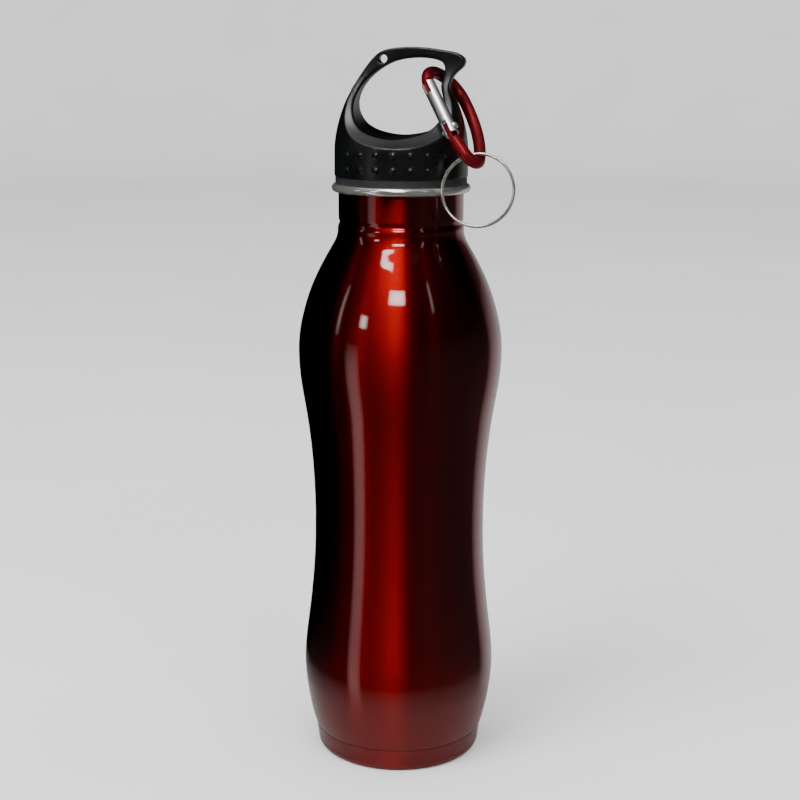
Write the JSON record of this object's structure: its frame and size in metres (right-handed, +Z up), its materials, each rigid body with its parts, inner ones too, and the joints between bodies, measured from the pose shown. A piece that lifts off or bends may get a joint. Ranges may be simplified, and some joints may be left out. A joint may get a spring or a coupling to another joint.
{
  "type": "water bottle",
  "caption": "Slim-waisted steel sports bottle with a screw cap, a carry loop, a mini carabiner and a split ring.",
  "frame": {"origin": "centre of the foot, on the surface that the bottle stands on", "axes": "+Z up along the bottle's axis; the front of the cap's loop faces -Y and its beak points to +X"},
  "size_m": [0.0778, 0.073, 0.2569],
  "materials": {
    "lacquered_steel": "translucent red lacquer over brushed steel",
    "bare_steel": "polished",
    "black_plastic": "fine matte texture",
    "seal_rubber": "matte",
    "red_aluminium": "red anodised",
    "bare_aluminium": "satin",
    "rivet_steel": "satin",
    "plated_steel": "bright nickel"
  },
  "bodies": {
    "bottle": {"body_shell": "lacquered_steel", "base_cup": "lacquered_steel", "threaded_collar": "bare_steel"},
    "seal": {"cap_gasket": "seal_rubber"},
    "cap": {"cap_shell": "black_plastic", "cap_plug": "black_plastic"},
    "carabiner": {"carabiner_frame": "red_aluminium", "gate_rivet": "rivet_steel"},
    "gate": {"carabiner_gate": "bare_aluminium", "gate_plunger": "rivet_steel", "gate_spring": "rivet_steel"},
    "ring": {"split_ring": "plated_steel"}
  },
  "joints": [
    {"name": "cap_rise", "type": "slide", "parent": "bottle", "child": "seal", "axis": [0, 0, 1], "range_m": [0, 0.018]},
    {"name": "cap_unscrew", "type": "hinge", "parent": "seal", "child": "cap", "pos_m": [0, 0, 0.22], "axis": [0, 0, 1], "range_deg": [0, 1620]},
    {"name": "carabiner_swing", "type": "hinge", "parent": "cap", "child": "carabiner", "pos_m": [0.01363, 0.0025, 0.24493], "axis": [-0.5456, -0.8008, 0.2469], "range_deg": [0, 20]},
    {"name": "gate_hinge", "type": "hinge", "parent": "carabiner", "child": "gate", "pos_m": [0.01863, -0.01761, 0.22973], "axis": [-0.7192, 0.2962, -0.6285], "range_deg": [0, 6], "stiffness_Nm_per_rad": 0.005, "springref_deg": -20.05},
    {"name": "ring_swing", "type": "hinge", "parent": "carabiner", "child": "ring", "pos_m": [0.02735, -0.01937, 0.21892], "axis": [-0.5456, -0.8008, 0.2469], "range_deg": [0, 30]}
  ],
  "couplings": [
    {"joint": "cap_rise", "follows": "cap_unscrew", "m_per_rad": 0.00063662}
  ]
}
